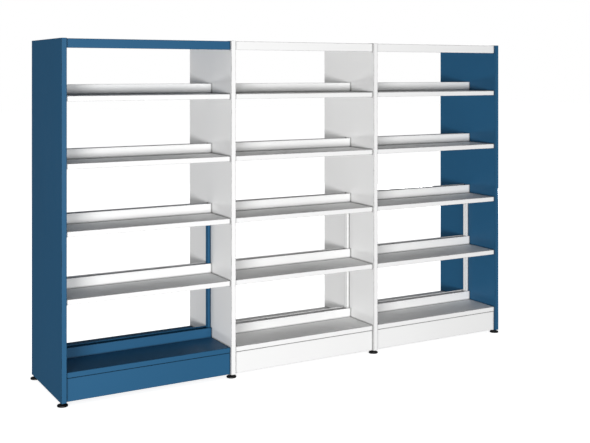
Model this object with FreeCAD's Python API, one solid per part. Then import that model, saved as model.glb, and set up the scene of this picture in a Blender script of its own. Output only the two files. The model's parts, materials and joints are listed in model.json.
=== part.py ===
import FreeCAD, Part
import math
import os
from FreeCAD import Vector

# Double-sided steel library shelving. Closed panels on levelling feet carry folded shelves on
# both sides of a bracing frame. The shelves, plinths and top covers all drop over flat clips
# that stand in the panels' slots.
# Millimetres, +Z up, front towards -Y, origin on the floor at the middle.

# Overall sizes
bays = 3
bay_width = 1000.0          # clear width between two panels
panel_thick = 30.0
panel_depth = 615.0
panel_height = 2000.0
foot_gap = 22.0             # floor to the underside of a panel
sheet = 1.2                 # folded steel sheet
fold = 1.5                  # blunted outer edge of a fold

# Shelf levels
base_height = 184.0         # floor to the top of the base shelf
first_rise = 400.0          # base shelf to the first loose shelf
shelf_rise = 373.0
loose_levels = 4

# Folded shelf
front_setback = 12.0        # shelf front behind the panel's edge
lip_height = 30.0
lip_return = 12.0
stop_height = 60.0          # back stop above the shelf
stop_hem = 9.0
stop_clear = 17.0           # back stop's face to the posts behind it
end_clear = 1.0             # shelf end to panel face

# Clips that carry the shelves
clip_thick = 3.0
clip_height = 8.0
clip_reach = 3.0            # beyond the inside of a shelf's end flange
clip_tail = 7.0             # depth inside the panel
clip_rise = 14.0            # clip's top above the lower edge of what it carries
clip_inset = 40.0           # first and last clip from the ends of a flange
slot_gap = 0.2              # clip in its slot, all round
notch_play = 0.5            # notch beside the clip, each side
seat_gap = 0.3              # notch above the clip

# Plinth and top cover
plinth_setback = 2.0        # behind the shelf's lip
plinth_return = 15.0
plinth_lift = 2.0           # above the panels' underside
plinth_top_gap = 3.0        # below the base shelf's lip
plinth_clip_gap = 5.0       # plinth's clips above the feet's nuts
fascia_height = 52.0        # front edge of the top cover
top_drop = 2.0              # cover below the panels' top

# Bracing frame in the middle of a bay
post_width = 20.0
post_depth = 30.0
post_wall = 1.5
post_gap = 0.3              # post to panel face
post_bottom = 60.0
brace_over_shelf = 40.0     # frame's top above the second loose shelf
brace_rail = 30.0
low_rail_drop = 50.0        # low rail's top below the base shelf
post_clip_inset = 190.0     # post's clips from its ends
post_drop = 8.0             # how far a post drops on its clips

# Levelling feet
pad_width = 60.0            # across the flats of its rim
pad_flats = 32
pad_height = 9.0
stem_radius = 5.0
stem_length = 51.0
stem_gap = 0.3              # stem in its nut, all round
foot_inset = 30.0           # foot centre from the panel's edge
channel_sheet = 2.0
channel_height = 25.0
channel_gap = 0.2
nut_width = 20.0
nut_height = 30.0

# Derived places
module = bay_width + panel_thick
length = bays * module + panel_thick
panel_top = foot_gap + panel_height
half_depth = panel_depth / 2
shelf_front = -half_depth + front_setback
stop_front = -post_depth / 2 - stop_clear
cover_top = panel_top - top_drop
plinth_front = shelf_front + plinth_setback
plinth_bottom = foot_gap + plinth_lift
plinth_top = base_height - lip_height - plinth_top_gap
plinth_clip_top = foot_gap + nut_height + plinth_clip_gap + clip_height
levels = [base_height] + [base_height + first_rise + n * shelf_rise for n in range(loose_levels)]
brace_top = levels[2] + brace_over_shelf


def box(x0, x1, y0, y1, z0, z1):
    return Part.makeBox(x1 - x0, y1 - y0, z1 - z0, Vector(x0, y0, z0))


def along_x(outline, x0, x1):
    """A (y, z) outline pulled along X."""
    wire = Part.makePolygon([Vector(x0, y, z) for y, z in outline + outline[:1]])
    return Part.Face(wire).extrude(Vector(x1 - x0, 0, 0))


def fused(shapes):
    return shapes[0].multiFuse(shapes[1:]).removeSplitter()


def mirrored_x(shape, middle):
    return shape.mirror(Vector(middle, 0, 0), Vector(1, 0, 0))


def mirrored_y(shape):
    return shape.mirror(Vector(0, 0, 0), Vector(0, 1, 0))


def panel_left(index):
    return -length / 2 + index * module


def left_wall(bay):
    """X of the panel face at the left end of a bay."""
    return panel_left(bay) + panel_thick


def both_ends(bay, shapes):
    """Shapes made at the left end of a bay, with their mirror images at its right end."""
    middle = left_wall(bay) + bay_width / 2
    return shapes + [mirrored_x(shape, middle) for shape in shapes]


# Clips

def shelf_clip_ys():
    return [shelf_front + clip_inset, stop_front - clip_inset]


def plinth_clip_y():
    return plinth_front + plinth_return / 2 + sheet


def clip_places():
    """(y, top z) of every clip at one end of a bay."""
    places = []
    for top in levels:
        places += [(y, top - lip_height + clip_rise) for y in shelf_clip_ys()]
    places.append((plinth_clip_y(), plinth_clip_top))
    places += [(-y, z) for y, z in places]
    ends = (shelf_front + clip_inset, -shelf_front - clip_inset)
    places += [(y, cover_top - lip_height + clip_rise) for y in ends]
    return places + [(0.0, z) for z in post_clip_tops()]


def post_clip_tops():
    return [post_bottom + post_clip_inset, brace_top - post_clip_inset]


def clip(wall, y, top):
    """A flat tongue, upright in its slot."""
    half = clip_thick / 2
    end = wall + end_clear + sheet + clip_reach
    return box(wall - clip_tail, end, y - half, y + half, top - clip_height, top)


def clip_slot(wall, y, top):
    half = clip_thick / 2 + slot_gap
    low = top - clip_height - slot_gap
    return box(wall - 2 * sheet, wall + sheet, y - half, y + half, low, top + slot_gap)


def notch(x, y, edge, top):
    """The notch up from a lower edge that drops over a clip."""
    half = clip_thick / 2 + notch_play
    return box(x - sheet, x + 2 * sheet, y - half, y + half, edge - sheet, top + seat_gap)


# Panels

def is_upright(edge):
    return abs(edge.BoundBox.ZLength - edge.Length) < 0.001


def panel(index):
    """A closed panel folded from sheet, open underneath, with slots towards its bays."""
    x0 = panel_left(index)
    x1 = x0 + panel_thick
    outer = box(x0, x1, -half_depth, half_depth, foot_gap, panel_top)
    outer = outer.makeChamfer(fold, [edge for edge in outer.Edges if is_upright(edge)])
    hollow = box(x0 + sheet, x1 - sheet, -half_depth + sheet, half_depth - sheet,
                 foot_gap - sheet, panel_top - sheet)
    slots = []
    if index < bays:
        slots += [clip_slot(x1, y, top) for y, top in clip_places()]
    if index > 0:
        left = [clip_slot(x0, y, top) for y, top in clip_places()]
        slots += [mirrored_x(slot, x0) for slot in left]
    return outer.cut(hollow).cut(Part.makeCompound(slots))


def foot_places(index):
    """(x, y) of the front and the back foot of a panel."""
    x = panel_left(index) + panel_thick / 2
    return [(x, -half_depth + foot_inset), (x, half_depth - foot_inset)]


def foot_channel(index):
    """The channel that closes a panel's underside, with a welded nut for each foot."""
    centre = panel_left(index) + panel_thick / 2
    half_width = panel_thick / 2 - sheet - channel_gap
    half_length = half_depth - sheet - channel_gap
    inner = half_width - channel_sheet
    outer = box(centre - half_width, centre + half_width, -half_length, half_length,
                foot_gap, foot_gap + channel_height)
    trough = outer.cut(box(centre - inner, centre + inner, -half_depth, half_depth,
                           foot_gap + channel_sheet, foot_gap + 2 * channel_height))
    half_nut = nut_width / 2
    nuts = [box(x - half_nut, x + half_nut, y - half_nut, y + half_nut,
                foot_gap, foot_gap + nut_height) for x, y in foot_places(index)]
    bores = [Part.makeCylinder(stem_radius + stem_gap, 2 * nut_height,
                               Vector(x, y, foot_gap - nut_height / 2))
             for x, y in foot_places(index)]
    return fused([trough] + nuts).cut(Part.makeCompound(bores))


def foot(x, y):
    """A pad with a rim of narrow flats, in one with its stem."""
    half_flat = math.pi / pad_flats
    corner = pad_width / 2 / math.cos(half_flat)
    turns = [(2 * n + 1) * half_flat for n in range(pad_flats + 1)]
    rim = Part.makePolygon([Vector(x + corner * math.cos(a), y + corner * math.sin(a), 0)
                            for a in turns])
    pad = Part.Face(rim).extrude(Vector(0, 0, pad_height))
    stem = Part.makeCylinder(stem_radius, stem_length, Vector(x, y, pad_height))
    return fused([pad, stem])


# Pieces that hang on the clips

def hung(bay, outline, end_plate, clips):
    """A folded outline between two panels, with a notched plate across each end.

    end_plate is (front, back, bottom, top) of the plates, and clips is (y, top) of each clip.
    """
    x0 = left_wall(bay) + end_clear
    x1 = left_wall(bay) + bay_width - end_clear
    plates = both_ends(bay, [box(x0, x0 + sheet, *end_plate)])
    notches = both_ends(bay, [notch(x0, y, end_plate[2], top) for y, top in clips])
    return fused([along_x(outline, x0, x1)] + plates).cut(Part.makeCompound(notches))


def shelf(bay, top):
    """A front shelf: lip, hemmed back stop and end flanges folded from one sheet."""
    under = top - sheet
    low = top - lip_height
    stop_top = top + stop_height
    outline = [
        (shelf_front + lip_return, low), (shelf_front, low),
        (shelf_front, top - fold), (shelf_front + fold, top),
        (stop_front, top), (stop_front, stop_top),
        (stop_front + 2 * sheet, stop_top), (stop_front + 2 * sheet, stop_top - stop_hem),
        (stop_front + sheet, stop_top - stop_hem), (stop_front + sheet, under),
        (shelf_front + sheet, under), (shelf_front + sheet, low + sheet),
        (shelf_front + lip_return, low + sheet),
    ]
    clips = [(y, low + clip_rise) for y in shelf_clip_ys()]
    return hung(bay, outline, (shelf_front + sheet, stop_front, low, under), clips)


def plinth(bay):
    """The front plinth under a base shelf, folded back along its top and bottom."""
    back = plinth_front + plinth_return
    outline = [
        (back, plinth_bottom), (plinth_front, plinth_bottom), (plinth_front, plinth_top),
        (back, plinth_top), (back, plinth_top - sheet), (plinth_front + sheet, plinth_top - sheet),
        (plinth_front + sheet, plinth_bottom + sheet), (back, plinth_bottom + sheet),
    ]
    plate = (plinth_front + sheet, back, plinth_bottom, plinth_top)
    return hung(bay, outline, plate, [(plinth_clip_y(), plinth_clip_top)])


def cover(bay):
    """The cover between two panels, with a deep fascia in front and a lip behind."""
    front, back = shelf_front, -shelf_front
    under = cover_top - sheet
    fascia_low = cover_top - fascia_height
    low = cover_top - lip_height
    outline = [
        (front + lip_return, fascia_low), (front, fascia_low),
        (front, cover_top - fold), (front + fold, cover_top),
        (back - fold, cover_top), (back, cover_top - fold),
        (back, low), (back - lip_return, low), (back - lip_return, low + sheet),
        (back - sheet, low + sheet), (back - sheet, under),
        (front + sheet, under), (front + sheet, fascia_low + sheet),
        (front + lip_return, fascia_low + sheet),
    ]
    clips = [(y, low + clip_rise) for y in (front + clip_inset, back - clip_inset)]
    return hung(bay, outline, (front + sheet, back - sheet, low, under), clips)


# Bracing frame

def brace_posts(bay):
    """The two tube posts of a bay, slotted to hang on their clips."""
    x0 = left_wall(bay) + post_gap
    x1 = x0 + post_width
    half = post_depth / 2
    tube = box(x0, x1, -half, half, post_bottom, brace_top)
    inside = box(x0 + post_wall, x1 - post_wall, -half + post_wall, half - post_wall,
                 post_bottom - post_wall, brace_top + post_wall)
    half_slot = clip_thick / 2 + notch_play
    slots = [box(x0 - post_gap, x0 + 2 * post_wall, -half_slot, half_slot,
                 top - clip_height - post_drop, top + seat_gap) for top in post_clip_tops()]
    return Part.makeCompound(both_ends(bay, [tube.cut(inside).cut(Part.makeCompound(slots))]))


def brace_rails(bay):
    """The high and the low rail welded between a bay's posts, open underneath."""
    x0 = left_wall(bay) + post_gap + post_width
    x1 = left_wall(bay) + bay_width - post_gap - post_width
    half = post_depth / 2
    rails = []
    for top in (brace_top, base_height - low_rail_drop):
        low = top - brace_rail
        under = top - post_wall
        outline = [(-half, low), (-half, top), (half, top), (half, low), (half - post_wall, low),
                   (half - post_wall, under), (-half + post_wall, under), (-half + post_wall, low)]
        rails.append(along_x(outline, x0, x1))
    return Part.makeCompound(rails)


def save(name, shape):
    shape.exportStep(os.path.join("parts", name + ".step"))


def panel_name(index):
    if index == 0:
        return "end_panel_left"
    if index == bays:
        return "end_panel_right"
    return f"middle_panel_{index}"


def save_bay(bay):
    number = bay + 1
    base = shelf(bay, levels[0])
    front_plinth = plinth(bay)
    save(f"base_shelf_{number}_front", base)
    save(f"base_shelf_{number}_back", mirrored_y(base))
    save(f"plinth_{number}_front", front_plinth)
    save(f"plinth_{number}_back", mirrored_y(front_plinth))
    for level in range(1, loose_levels + 1):
        loose = shelf(bay, levels[level])
        save(f"shelf_{number}_front_{level}", loose)
        save(f"shelf_{number}_back_{level}", mirrored_y(loose))
    save(f"top_cover_{number}", cover(bay))
    save(f"brace_posts_{number}", brace_posts(bay))
    save(f"brace_rails_{number}", brace_rails(bay))


def all_clips():
    clips = []
    for bay in range(bays):
        clips += both_ends(bay, [clip(left_wall(bay), y, top) for y, top in clip_places()])
    return clips


def main():
    os.makedirs("parts", exist_ok=True)
    for index in range(bays + 1):
        save(panel_name(index), panel(index))
        for side, (x, y) in zip(("front", "back"), foot_places(index)):
            save(f"foot_{index + 1}_{side}", foot(x, y))
    for bay in range(bays):
        save_bay(bay)
    save("foot_channels", Part.makeCompound([foot_channel(n) for n in range(bays + 1)]))
    save("shelf_clips", Part.makeCompound(all_clips()))


main()
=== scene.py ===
import json
import math

import bmesh
import bpy
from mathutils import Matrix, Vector


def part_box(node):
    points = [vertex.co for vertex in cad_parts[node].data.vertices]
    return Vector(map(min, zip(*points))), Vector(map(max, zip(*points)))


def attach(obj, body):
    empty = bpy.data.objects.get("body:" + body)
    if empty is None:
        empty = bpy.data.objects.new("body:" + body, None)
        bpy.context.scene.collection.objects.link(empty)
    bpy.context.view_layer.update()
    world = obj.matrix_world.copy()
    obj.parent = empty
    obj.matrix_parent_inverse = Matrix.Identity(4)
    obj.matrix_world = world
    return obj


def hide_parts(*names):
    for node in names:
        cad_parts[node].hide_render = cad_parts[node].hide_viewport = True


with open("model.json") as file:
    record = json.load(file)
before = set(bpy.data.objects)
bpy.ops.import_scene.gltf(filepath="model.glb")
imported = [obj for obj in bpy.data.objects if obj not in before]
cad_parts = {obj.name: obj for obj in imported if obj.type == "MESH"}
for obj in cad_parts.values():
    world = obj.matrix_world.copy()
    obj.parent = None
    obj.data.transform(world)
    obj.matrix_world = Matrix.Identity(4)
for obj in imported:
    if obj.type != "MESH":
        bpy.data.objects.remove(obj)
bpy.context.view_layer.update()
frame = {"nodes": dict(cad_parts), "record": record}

# Double-sided library shelving: powder-coated steel panels and shelves on black levelling pads.

nodes = frame["nodes"]

# Powder coat. Here and below, a scale counts a pattern's cells in a metre.
coat_roughness = 0.40
cloud_scale = 1.7
peel_scale = 420.0
peel_depth = 0.00012
smear_scale = 6.0
smear_roughness = 0.12          # added where a smear is strongest

# Darkening of the powder coat along its folds, and painted shade in its corners
fold_radius = 0.0024
fold_samples = 4
fold_limits = (0.9995, 0.985)   # cosine to the flat face where the fold's darkening starts and is full
fold_roughness = 0.06           # added along a fold
patch_scale = 14.0
even_fold_darkening = 0.65             # share of a fold's darkening that has no patches
# Painted shade in the corners where pieces meet, as dark as the corner is enclosed
corner_reach = 0.012
corner_samples = 6
corner_limits = (0.95, 0.55)    # openness where the painted shade starts and is full
corner_painted_shade = 0.75

# Black nylon
nylon_clean = (0.007, 0.007, 0.008, 1.0)
nylon_scuffed = (0.035, 0.035, 0.037, 1.0)
nylon_roughness = 0.42
grain_scale = 1600.0
grain_depth = 0.0001
scuff_scale = 160.0
scuff_strength = 0.35
scuff_roughness = 0.2           # added where a scuff is strongest

# Brushed zinc
zinc_roughness = 0.28
brush_scale = (40.0, 900.0, 40.0)   # fine along Y only, so the brushing runs along X and Z
brush_depth = 0.00005
brush_roughness = 0.2           # added on the brushing's ridges
spangle_scale = 60.0

# Levelling feet
pad_height = 0.009
pad_edge = 0.0015
stem_radius = 0.005
well_radius = stem_radius * 1.7     # shallow well round the stem
well_depth = 0.0005
thread_pitch = 0.0015
thread_depth = 0.0006
foot_steps = 48
weld_distance = 0.00001
sharp_angle = 35.0              # degrees between faces from which an edge stays sharp

# Floor and camera
floor_reach = 40.0
floor_glow = 0.82               # as a share of full white
camera_place = (-3.110, -5.574, 1.831)
camera_turn = -29.82            # degrees from looking straight at the front
camera_lens = 59.72
camera_shift = -0.2523


# Shader maths

class Wire:
    """A node socket that takes part in Python arithmetic."""

    def __init__(self, graph, socket):
        self.graph, self.socket = graph, socket

    def _maths(self, operation, first, second):
        return self.graph.add("ShaderNodeMath", {"operation": operation}, {0: first, 1: second})

    def __add__(self, other):
        return self._maths("ADD", self, other)

    def __radd__(self, other):
        return self._maths("ADD", other, self)

    def __sub__(self, other):
        return self._maths("SUBTRACT", self, other)

    def __rsub__(self, other):
        return self._maths("SUBTRACT", other, self)

    def __mul__(self, other):
        return self._maths("MULTIPLY", self, other)

    def __rmul__(self, other):
        return self._maths("MULTIPLY", other, self)


class Graph:
    """A node tree that is built up a node at a time."""

    def __init__(self, tree):
        self.tree = tree

    def add(self, kind, settings, values, output=0):
        """Adds one node: its settings first, then its sockets' values or links."""
        node = self.tree.nodes.new(kind)
        for name, value in settings.items():
            if name == "stops":
                self.set_stops(node, value)
            else:
                setattr(node, name, value)
        for socket, value in values.items():
            self.fill(node.inputs[socket], value)
        return Wire(self, node.outputs[output])

    def set_stops(self, node, stops):
        """Sets the two stops of a ramp."""
        for element, (position, colour) in zip(node.color_ramp.elements, stops):
            element.position, element.color = position, colour

    def fill(self, socket, value):
        if isinstance(value, Wire):
            self.tree.links.new(value.socket, socket)
        else:
            socket.default_value = value


class Paint(Graph):
    """A node material with one Principled shader."""

    def __init__(self, name):
        self.material = bpy.data.materials.new(name)
        self.material.use_nodes = True
        super().__init__(self.material.node_tree)
        self.shader = self.tree.nodes["Principled BSDF"]
        self.place = self.add("ShaderNodeTexCoord", {}, {}, "Object")

    def finish(self, **values):
        """Sets the shader's own sockets, whose names are given with _ for a space."""
        for name, value in values.items():
            self.fill(self.shader.inputs[name.replace("_", " ")], value)
        return self.material

    def noise(self, scale, detail, roughness=0.5):
        values = {"Vector": self.place, "Scale": scale, "Detail": detail, "Roughness": roughness}
        return self.add("ShaderNodeTexNoise", {}, values)

    def ramp(self, fac, first, last):
        return self.add("ShaderNodeValToRGB", {"stops": (first, last)}, {"Fac": fac})

    def mix(self, factor, first, second):
        settings = {"data_type": "RGBA"}
        return self.add("ShaderNodeMix", settings, {0: factor, 6: first, 7: second}, 2)

    def bump(self, height, distance, strength, normal=None):
        values = {"Height": height, "Distance": distance, "Strength": strength}
        if normal is not None:
            values["Normal"] = normal
        return self.add("ShaderNodeBump", {}, values)

    def mask(self, value, limits):
        """Rises from 0 to 1 as the value goes from the first limit to the second."""
        return self.add("ShaderNodeMapRange", {},
                        {"Value": value, "From Min": limits[0], "From Max": limits[1]})

    def folded_edges(self):
        """Returns the normal rounded over the folds, and a mask that is 1 along them."""
        rounded = self.add("ShaderNodeBevel", {"samples": fold_samples}, {"Radius": fold_radius})
        flat = self.add("ShaderNodeNewGeometry", {}, {}, "True Normal")
        cosine = self.add("ShaderNodeVectorMath", {"operation": "DOT_PRODUCT"},
                          {0: rounded, 1: flat}, "Value")
        return rounded, self.mask(cosine, fold_limits)

    def corners(self):
        """Returns a mask for painted shade, 1 deep in the corners where pieces or folds meet."""
        openness = self.add("ShaderNodeAmbientOcclusion", {"samples": corner_samples},
                            {"Distance": corner_reach}, "AO")
        return self.mask(openness, corner_limits)


def grey(level):
    return (level, level, level, 1.0)


def enamel(name, colour, dark_fold_and_shade_colour, shade, gloss):
    """Powder coat: a faint orange peel, soft cloudy shading, darker folds and painted shade in the
    corners.
    """
    paint = Paint(name)
    rounded, edge = paint.folded_edges()
    clouds = paint.noise(cloud_scale, 3.0)
    tone = paint.ramp(clouds, (0.3, grey(1.0 - shade)), (0.7, grey(1.0)))
    tinted = paint.add("ShaderNodeMix", {"data_type": "RGBA", "blend_type": "MULTIPLY"},
                       {0: 1.0, 6: colour, 7: tone}, 2)
    # Folds are darkened towards the dark colour, more in patches
    patches = paint.ramp(paint.noise(patch_scale, 4.0, 0.6), (0.52, grey(0.0)), (0.66, grey(1.0)))
    fold_darkening = edge * (even_fold_darkening + patches * (1.0 - even_fold_darkening))
    fold_darkened = paint.mix(fold_darkening, tinted, dark_fold_and_shade_colour)
    # Painted shade: the colour darkens towards the dark colour deep in corners
    base = paint.mix(paint.corners() * corner_painted_shade, fold_darkened, dark_fold_and_shade_colour)
    peel = paint.noise(peel_scale, 2.0)
    smears = paint.noise(smear_scale, 5.0, 0.6)
    return paint.finish(
        Base_Color=base,
        Roughness=coat_roughness + smears * smear_roughness + edge * fold_roughness,
        Specular_IOR_Level=gloss,
        Normal=paint.bump(peel, peel_depth, 0.35, rounded),
    )


def moulded_black():
    """Black nylon with a fine moulded grain and scattered pale scuffs."""
    paint = Paint("black_nylon")
    grain = paint.noise(grain_scale, 2.0)
    scuffs = paint.ramp(paint.noise(scuff_scale, 5.0, 0.7), (0.55, grey(0.0)), (0.75, grey(1.0)))
    return paint.finish(
        Base_Color=paint.mix(scuffs * scuff_strength, nylon_clean, nylon_scuffed),
        Roughness=nylon_roughness + scuffs * scuff_roughness,
        Normal=paint.bump(grain, grain_depth, 0.5),
    )


def zinc_plate(name, bright):
    """Bright zinc with a brushed grain and cloudy spangle."""
    paint = Paint(name)
    streaks = paint.add("ShaderNodeMapping", {}, {"Vector": paint.place, "Scale": brush_scale})
    brushed = paint.add("ShaderNodeTexNoise", {}, {"Vector": streaks, "Scale": 1.0, "Detail": 3.0})
    clouds = paint.noise(spangle_scale, 3.0)
    return paint.finish(
        Base_Color=paint.ramp(clouds, (0.35, grey(bright * 0.8)), (0.65, grey(bright))),
        Metallic=1.0,
        Roughness=zinc_roughness + brushed * brush_roughness,
        Normal=paint.bump(brushed, brush_depth, 0.3),
    )


def dress(node, material):
    """Gives a piece of the frame its finish, without touching its shape."""
    for place in nodes[node].material_slots:
        place.material = material


# Levelling feet

def spun(name, outline, centre):
    """A closed solid of revolution about a vertical axis, from (radius, height) points."""
    mesh = bmesh.new()
    ring = [mesh.verts.new((radius, 0.0, height)) for radius, height in outline]
    for lower, upper in zip(ring, ring[1:]):
        mesh.edges.new((lower, upper))
    bmesh.ops.spin(mesh, geom=mesh.verts[:] + mesh.edges[:], cent=(0, 0, 0), axis=(0, 0, 1),
                   angle=2 * math.pi, steps=foot_steps, use_merge=True)
    bmesh.ops.remove_doubles(mesh, verts=mesh.verts, dist=weld_distance)
    bmesh.ops.recalc_face_normals(mesh, faces=mesh.faces)
    bmesh.ops.translate(mesh, verts=mesh.verts, vec=centre)
    data = bpy.data.meshes.new(name)
    mesh.to_mesh(data)
    mesh.free()
    data.polygons.foreach_set("use_smooth", [True] * len(data.polygons))
    data.set_sharp_from_angle(angle=math.radians(sharp_angle))
    piece = bpy.data.objects.new(name, data)
    bpy.context.scene.collection.objects.link(piece)
    return piece


def foot_outline(radius, top):
    """Rounded pad with a domed shoulder, and a stem with rings in place of a thread's helix."""
    corner = pad_edge
    points = [(0.0, 0.0), (radius - corner, 0.0), (radius - corner * 0.3, corner * 0.3),
              (radius, corner)]
    points += [(radius, pad_height - 2 * corner), (radius - corner * 0.4, pad_height - corner),
               (radius - corner * 1.6, pad_height - corner * 0.2),
               (radius - corner * 3.0, pad_height)]
    points += [(well_radius, pad_height), (well_radius, pad_height - well_depth),
               (stem_radius, pad_height - well_depth)]
    root = stem_radius - thread_depth
    height = pad_height + thread_pitch
    while height + thread_pitch < top:
        points += [(stem_radius, height), (root, height + thread_pitch / 2)]
        height += thread_pitch
    return points + [(root, top), (0.0, top)]


def make_foot(node, material):
    low, high = (Vector(corner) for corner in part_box(node))
    centre = Vector(((low.x + high.x) / 2, (low.y + high.y) / 2, low.z))
    outline = foot_outline((high.x - low.x) / 2, high.z - low.z)
    piece = spun("pad_" + node, outline, centre)
    piece.data.materials.append(material)
    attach(piece, node)
    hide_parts(node)


# Finishes

# The dark colour darkens the folds and gives the painted shade in corners
blue = enamel("blue_powder_coat", colour=(0.0178, 0.094, 0.194, 1.0),
              dark_fold_and_shade_colour=(0.002, 0.012, 0.026, 1.0), shade=0.05, gloss=0.15)
white = enamel("white_powder_coat", colour=(0.80, 0.80, 0.798, 1.0),
               dark_fold_and_shade_colour=(0.07, 0.07, 0.07, 1.0), shade=0.02, gloss=0.3)
black = moulded_black()
zinc = zinc_plate("zinc_plate", bright=0.62)

finishes = {"blue_enamel": blue, "white_enamel": white, "zinc_steel": zinc, "foot_black": black}
for part in frame["record"]["subparts"]:
    dress(part["node"], finishes[part["material_slot"]])
for node in nodes:
    if node.startswith("foot_") and node != "foot_channels":
        make_foot(node, black)


# Floor, light and camera

def make_floor():
    """A pale floor whose own glow gives most of its white.

    It neither lights the object nor shows in its gloss.
    """
    mesh = bmesh.new()
    bmesh.ops.create_grid(mesh, x_segments=1, y_segments=1, size=floor_reach)
    data = bpy.data.meshes.new("floor")
    mesh.to_mesh(data)
    mesh.free()
    floor = bpy.data.objects.new("floor", data)
    bpy.context.scene.collection.objects.link(floor)
    paint = Paint("pale_floor")
    floor.data.materials.append(paint.finish(
        Base_Color=grey(0.8),
        Roughness=0.9,
        Specular_IOR_Level=0.1,
        Emission_Color=grey(1.0),
        Emission_Strength=floor_glow,
    ))
    floor.visible_diffuse = floor.visible_glossy = False


def make_surround(ambient, reflected):
    """A white surround that lights the object only gently, and is reflected more gently still."""
    world = bpy.context.scene.world or bpy.data.worlds.new("studio")
    bpy.context.scene.world = world
    world.use_nodes = True
    graph = Graph(world.node_tree)
    background = graph.tree.nodes["Background"]
    seen = graph.add("ShaderNodeLightPath", {}, {}, "Is Camera Ray")
    glossy = graph.add("ShaderNodeLightPath", {}, {}, "Is Glossy Ray")
    graph.fill(background.inputs["Color"], grey(1.0))
    strength = ambient + seen * (1.0 - ambient) - glossy * (ambient - reflected)
    graph.fill(background.inputs["Strength"], strength)


def area_light(name, place, target, size, power, mirrored=True):
    """A softbox. One that isn't mirrored lights the object without showing in its gloss."""
    data = bpy.data.lights.new(name, "AREA")
    data.shape, data.size, data.size_y, data.energy = "RECTANGLE", size[0], size[1], power
    lamp = bpy.data.objects.new(name, data)
    lamp.location = place
    lamp.rotation_euler = (Vector(target) - Vector(place)).to_track_quat("-Z", "Y").to_euler()
    lamp.visible_glossy = mirrored
    bpy.context.scene.collection.objects.link(lamp)


make_floor()
make_surround(ambient=0.26, reflected=0.10)
area_light("left_softbox", (-7.0, -8.0, 0.8), (0.0, 0.0, 0.9), (3.6, 1.4), 690.0)
area_light("front_softbox", (-0.8, -9.0, 0.8), (0.0, 0.0, 0.9), (3.6, 1.4), 360.0)
area_light("back_softbox", (-4.5, 8.6, 0.5), (0.0, 0.0, 0.8), (4.0, 0.8), 290.0, mirrored=False)
area_light("right_softbox", (7.6, 5.9, 0.3), (0.0, 0.0, 0.8), (3.6, 0.4), 460.0, mirrored=False)
area_light("top_softbox", (0.0, 0.0, 6.0), (0.0, 0.0, 2.0), (2.5, 0.5), 75.0)
bpy.context.scene.view_settings.view_transform = "Standard"

lens = bpy.data.cameras.new("camera")
lens.sensor_width = 36.0
lens.lens = camera_lens
lens.shift_y = camera_shift
camera = bpy.data.objects.new("camera", lens)
camera.location = camera_place
camera.rotation_euler = (math.radians(90.0), 0.0, math.radians(camera_turn))
bpy.context.scene.collection.objects.link(camera)
bpy.context.scene.camera = camera
